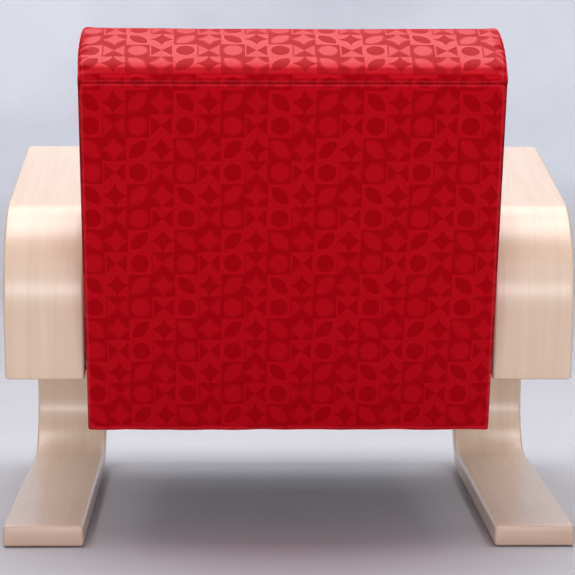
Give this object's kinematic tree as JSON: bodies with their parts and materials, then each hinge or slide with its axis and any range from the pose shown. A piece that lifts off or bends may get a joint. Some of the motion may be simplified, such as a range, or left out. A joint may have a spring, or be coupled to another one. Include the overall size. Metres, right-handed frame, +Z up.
{
  "type": "lounge armchair",
  "caption": "Cantilever lounge armchair: wide bent birch side frames carry a sprung, upholstered seat and leaning back in patterned red fabric.",
  "frame": {"origin": "on the floor, in the middle of the whole chair's bounding box", "axes": "+Z up; the sitter faces -Y, so the back and the open ends of the runners are at +Y; +X is the sitter's left"},
  "size_m": [0.74, 0.7572, 0.6674],
  "materials": {
    "birch_laminate": "clear satin lacquer",
    "frame_timber": "planed, unfinished",
    "red_satin": "satin jacquard, tone on tone",
    "foam": "cut foam",
    "wadding": "soft fibre",
    "hessian": "woven",
    "black_cambric": "non-woven",
    "hardboard": "pressed board",
    "spring_steel": "oiled wire",
    "zinc_steel": "bright zinc plated",
    "glide_plastic": "matt nylon",
    "spacer_fibre": "matt"
  },
  "bodies": {
    "root": {"left_side_frame": "birch_laminate", "right_side_frame": "birch_laminate", "floor_glides": "glide_plastic", "seat_side_rail_left": "frame_timber", "seat_side_rail_right": "frame_timber", "seat_front_rail": "frame_timber", "seat_rear_rail": "frame_timber", "seat_corner_blocks": "frame_timber", "corner_block_screws": "zinc_steel", "back_stile_left": "frame_timber", "back_stile_right": "frame_timber", "back_lower_rail": "frame_timber", "back_top_rail": "frame_timber", "back_gussets": "frame_timber", "gusset_screws": "zinc_steel", "rail_dowels": "frame_timber", "seat_springs": "spring_steel", "seat_spring_clips": "zinc_steel", "back_springs": "spring_steel", "back_spring_clips": "zinc_steel", "seat_hessian": "hessian", "back_hessian": "hessian", "seat_foam": "foam", "back_foam": "foam", "seat_wadding": "wadding", "back_wadding": "wadding", "back_hardboard": "hardboard", "side_padding_left": "wadding", "side_padding_right": "wadding", "seat_side_cover_left": "red_satin", "seat_side_cover_right": "red_satin", "back_side_cover_left": "red_satin", "back_side_cover_right": "red_satin", "seat_cover": "red_satin", "back_cover": "red_satin", "rear_cover": "red_satin", "dust_cover": "black_cambric", "dust_cover_tacks": "zinc_steel", "frame_bolts": "zinc_steel", "bolt_washers": "zinc_steel", "insert_nuts": "zinc_steel", "spacer_washers": "spacer_fibre"}
  },
  "joints": []
}
